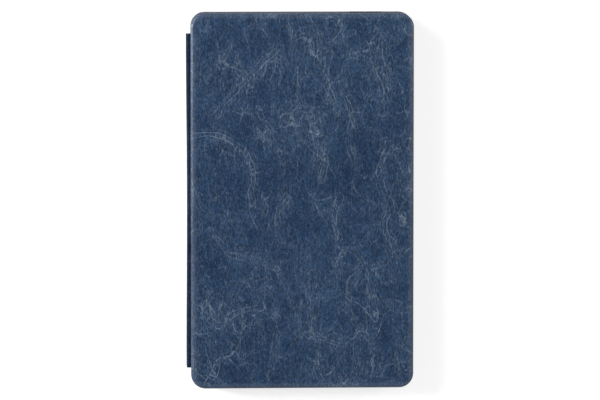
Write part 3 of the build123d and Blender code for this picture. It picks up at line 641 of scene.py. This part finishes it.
def spine_leather():
    """The spine's leather in two halves that meet half way up, where both follow the spine.

    The upper half runs up the spine, over its shoulder and under the cover's edge. The lower half
    runs down, turns under and climbs the tray's wall.
    """
    low, high = corners_of("spine_skin")
    cover_low, _ = corners_of("cover_skin")
    anchor_low, anchor_high = corners_of("spine_anchor_strip")
    y_range = (low[1], high[1])
    outer = low[0] + LEATHER / 2
    halfway = (low[2] + high[2]) / 2
    under_cover = cover_low[2] - LEATHER / 2
    upper = round_path([
        (outer, halfway),
        (outer, under_cover + 0.2 * MM),
        (cover_low[0] + 0.1 * MM, under_cover + 0.1 * MM),
        (cover_low[0] + TUCK_DEPTH, under_cover - 0.02 * MM),
    ], SPINE_ROUND)
    _, board_high = corners_of("spine_board")
    bend = board_high[2] + BOARD_MARGIN
    upper = np.insert(upper, 1, (outer, bend), axis=0)
    # Both halves take the spine finish, whose darker colour is painted shade
    piece = strip("spine_upper_leather", upper, LEATHER, y_range, FINISHES["spine_leather"],
                  SPINE_WAIST)
    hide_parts("spine_skin")
    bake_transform(piece)
    wall = (anchor_low[0] + anchor_high[0]) / 2
    foot = anchor_low[2] - 0.25 * MM
    outer = low[0] + FOOT_LEATHER / 2
    lower = round_path([
        (outer, halfway),
        (outer, foot + 0.7 * MM),
        (outer + 0.9 * MM, foot),
        (wall, foot + 0.3 * MM),
        (wall, anchor_high[2]),
    ], FOOT_ROUND)
    piece = strip("spine_lower_leather", lower, FOOT_LEATHER, y_range, FINISHES["spine_leather"],
                  SPINE_WAIST)
    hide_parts("spine_anchor_strip")
    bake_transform(piece)


def stand_hinge():
    """The cloth fold between the stand panel and the tray."""
    low, high = corners_of("stand_hinge_cloth")
    tray_low, tray_high = corners_of("tray_hinge_cloth")
    bottom, top = (low[2] + high[2]) / 2, (tray_low[2] + tray_high[2]) / 2
    fold = low[0] - STAND_FOLD_REACH
    corners = [(low[0] + MM, bottom), (fold, bottom), (fold, top), (low[0] + MM, top)]
    path = round_path(corners, STAND_FOLD_ROUND)
    piece = strip("stand_hinge_fold", path, CLOTH * 0.8, (low[1], high[1]), FINISHES["hinge_cloth"])
    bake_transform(piece)


def prop_hinge():
    """The cloth tab that the prop swings on."""
    low, high = corners_of("prop_hinge_cloth")
    prop_low, _ = corners_of("prop_covering")
    pivot = joint("prop_fold")["pos_m"]
    middle = (low[2] + high[2]) / 2
    path = round_path([
        (high[0] - 2 * MM, middle + 0.02 * MM),
        (high[0] + 0.1 * MM, middle + 0.02 * MM),
        (prop_low[0] + 0.1 * MM, pivot[2]),
    ], PROP_FOLD_ROUND)
    piece = strip("prop_hinge_fold", path, CLOTH * 0.6, (low[1], high[1]), FINISHES["hinge_cloth"])
    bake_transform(piece)


# Legends

ROWS = {
    "function_keys": ["esc", "F1", "F2", "F3", "F4", "F5", "F6", "F7", "F8", "F9", "F10", "del"],
    "number_keys": list("1234567890-"),
    "backspace_key": ["back"],
    "tab_key": ["tab"],
    "upper_letter_keys": list("QWERTYUIOP["),
    "caps_key": ["caps"],
    "home_letter_keys": list("ASDFGHJKL"),
    "enter_key": ["enter"],
    "left_shift_key": ["shift"],
    "lower_letter_keys": list("ZXCVBNM,."),
    "right_shift_key": ["shift"],
    "control_key": ["ctrl"],
    "fn_key": ["fn"],
    "alt_key": ["alt"],
    "menu_key": ["menu"],
}
ARROWS = {"left_arrow_key": 180, "up_arrow_key": 90, "down_arrow_key": 270, "right_arrow_key": 0}


def text_shape(words, size):
    """The flat outline of some words as an array of points and a list of faces, centred."""
    curve = bpy.data.curves.new("words", "FONT")
    curve.body, curve.size = words, size
    curve.align_x, curve.align_y = "CENTER", "CENTER"
    curve.resolution_u = 4
    holder = bpy.data.objects.new("words", curve)
    bpy.context.scene.collection.objects.link(holder)
    bpy.context.view_layer.update()
    mesh = bpy.data.meshes.new_from_object(holder)
    points = np.empty(len(mesh.vertices) * 3)
    mesh.vertices.foreach_get("co", points)
    points = points.reshape(-1, 3)
    faces = [list(polygon.vertices) for polygon in mesh.polygons]
    bpy.data.objects.remove(holder)
    bpy.data.curves.remove(curve)
    bpy.data.meshes.remove(mesh)
    middle = (points.min(0) + points.max(0)) / 2
    return points - middle, faces


def arrow_shape(turn):
    """A solid triangle that points along the turned reading direction."""
    angles = np.radians(turn + np.array([0, 125, 235]))
    points = np.stack([np.cos(angles), np.sin(angles), 0 * angles], axis=1) * ARROW_SIZE / 2
    return points, [[0, 1, 2]]


def cap_centres(node):
    """Centres of a node's caps, from the +Y end: its points, split where they leave gaps along Y."""
    mesh = frame["nodes"][node].data
    points = np.empty(len(mesh.vertices) * 3)
    mesh.vertices.foreach_get("co", points)
    points = points.reshape(-1, 3)
    heights = np.unique(np.round(points[:, 1], 6))
    breaks = np.flatnonzero(np.diff(heights) > CAP_GAP)
    runs = np.split(heights, breaks + 1)
    middles, start = [], None
    for run in runs:
        if start is None:
            start = run[0]
        if run[-1] - start > CAP_REACH:
            middles.append((start + run[-1]) / 2)
            start = None
    low, high = corners_of(node)
    return (low[0] + high[0]) / 2, sorted(middles, reverse=True), low[2]


def legends():
    """Printed legends, one piece for each key or row of keys, read from the open keyboard's front.

    Reading runs along -Y and the letters' tops point along -X, towards the spine.
    """
    shapes = {node: [text_shape(w, LETTER_SIZE if len(w) == 1 else WORD_SIZE) for w in words]
              for node, words in ROWS.items()}
    shapes |= {node: [arrow_shape(turn)] for node, turn in ARROWS.items()}
    for node, row in shapes.items():
        x, middles, face = cap_centres(node)
        points, faces, count = [], [], 0
        for (shape, polygons), y in zip(row, middles, strict=True):
            points.append(np.stack([
                x - shape[:, 1], y - shape[:, 0], np.full(len(shape), face - LEGEND_LIFT)
            ], axis=1))
            faces += [[corner + count for corner in polygon] for polygon in polygons]
            count += len(shape)
        mesh = bpy.data.meshes.new(node + "_legend")
        mesh.from_pydata(np.vstack(points).tolist(), [], faces)
        piece = bpy.data.objects.new(node + "_legend", mesh)
        bpy.context.scene.collection.objects.link(piece)
        mesh.materials.append(INK)
        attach(piece, node)


# Studio

def seen_rays(tree):
    """A socket that is 1 for camera, glossy and transmission rays, and 0 for scattered light."""
    rays = tree.nodes.new("ShaderNodeLightPath")
    seen = rays.outputs["Is Camera Ray"]
    for kind in ("Is Glossy Ray", "Is Transmission Ray"):
        total = tree.nodes.new("ShaderNodeMath")
        total.use_clamp = True
        tree.links.new(seen, total.inputs[0])
        tree.links.new(rays.outputs[kind], total.inputs[1])
        seen = total.outputs[0]
    return seen


def studio_floor():
    """A pale floor that reads white to the camera and still takes the case's shadow."""
    finish = Finish("floor", Roughness=0.9, Specular_IOR_Level=0.1)
    patch = finish.noise(3, 2)
    finish.feed("Base Color", finish.mix(patch, (0.48, 0.48, 0.48), (0.50, 0.50, 0.50)))
    finish.shader.inputs["Emission Strength"].default_value = 1.0
    finish.feed("Emission Color", finish.grey(Tone(finish, seen_rays(finish.tree)) * FLOOR_GLOW))
    half = FLOOR_SIZE / 2
    mesh = bpy.data.meshes.new("floor")
    corners = [(-half, -half, 0), (half, -half, 0), (half, half, 0), (-half, half, 0)]
    mesh.from_pydata(corners, [], [(0, 1, 2, 3)])
    mesh.materials.append(finish.material)
    floor = bpy.data.objects.new("floor", mesh)
    floor.location.z = -FLOOR_DROP
    bpy.context.scene.collection.objects.link(floor)


def soft_light(name, place, target, size, power):
    """A rectangular soft light that faces a point."""
    lamp = bpy.data.lights.new(name, "AREA")
    lamp.shape = "RECTANGLE"
    lamp.size, lamp.size_y = size
    lamp.energy = power
    holder = bpy.data.objects.new(name, lamp)
    holder.location = place
    holder.rotation_euler = (Vector(place) - Vector(target)).to_track_quat("Z", "Y").to_euler()
    bpy.context.scene.collection.objects.link(holder)


def studio_lights():
    middle = (0, 0, 0.02)
    soft_light("left_key", (-1.25, 0.95, 1.1), middle, (0.4, 0.9), 13)
    soft_light("left_strip", (-1.0, 0.2, 0.5), middle, (0.16, 1.1), 16)
    soft_light("right_fill", (1.2, 0.3, 1.0), middle, (0.4, 1.0), 6)
    world = bpy.data.worlds.new("studio")
    world.use_nodes = True
    bpy.context.scene.world = world
    background = world.node_tree.nodes["Background"]
    level = world.node_tree.nodes.new("ShaderNodeMapRange")
    level.inputs["To Min"].default_value = WORLD_LIGHT
    level.inputs["To Max"].default_value = 1.0
    world.node_tree.links.new(seen_rays(world.node_tree), level.inputs["Value"])
    world.node_tree.links.new(level.outputs[0], background.inputs["Strength"])
    background.inputs["Color"].default_value = (1, 1, 1, 1)


def camera():
    """Almost straight above the front cover, from slightly towards its upper left corner."""
    low, high = corners_of("cover_skin")
    middle = (low + high) / 2
    target = Vector((middle[0] + CAMERA_OFFSET[0], middle[1] + CAMERA_OFFSET[1], high[2]))
    lens = bpy.data.cameras.new("camera")
    lens.sensor_width = SENSOR
    lens.lens = SENSOR * CAMERA_DISTANCE / IMAGE_WIDTH
    holder = bpy.data.objects.new("camera", lens)
    lean = Vector(CAMERA_LEAN).normalized()
    holder.location = target + lean * CAMERA_DISTANCE
    right = Vector((0, 1, 0)).cross(lean).normalized()
    turn = Matrix((right, lean.cross(right), lean)).transposed()
    holder.rotation_euler = turn.to_euler()
    bpy.context.scene.collection.objects.link(holder)
    bpy.context.scene.camera = holder


finish_cad_nodes()
front_cover_leather()
spine_leather()
stand_hinge()
prop_hinge()
legends()
studio_floor()
studio_lights()
camera()
bpy.context.scene.view_settings.view_transform = "Standard"
